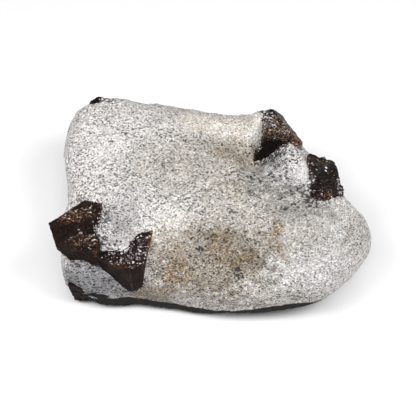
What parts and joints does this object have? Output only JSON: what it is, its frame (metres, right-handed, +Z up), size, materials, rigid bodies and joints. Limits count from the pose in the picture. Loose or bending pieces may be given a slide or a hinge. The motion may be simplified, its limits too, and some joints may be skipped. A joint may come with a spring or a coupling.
{
  "type": "staurolite cross",
  "caption": "Hand specimen of silvery mica schist with dark brown twinned staurolite crosses standing out of its top, and loose crystals at a corner and on the back edge.",
  "frame": {"origin": "on the surface the specimen rests on, under the middle of its bounding box", "axes": "+X along the specimen's length towards its rounded end, +Y to the back edge, +Z up, out of the face that carries the crosses"},
  "size_m": [0.0956, 0.0719, 0.0303],
  "materials": {
    "mica_schist": "pale silvery grey, fine glittering mica flakes, rust stains",
    "staurolite": "very dark brown, rough, flecked with mica and rust"
  },
  "bodies": {
    "root": {"matrix": "mica_schist", "left_cross": "staurolite", "right_cross": "staurolite", "corner_crystal": "staurolite", "edge_crystal": "staurolite"}
  },
  "joints": []
}
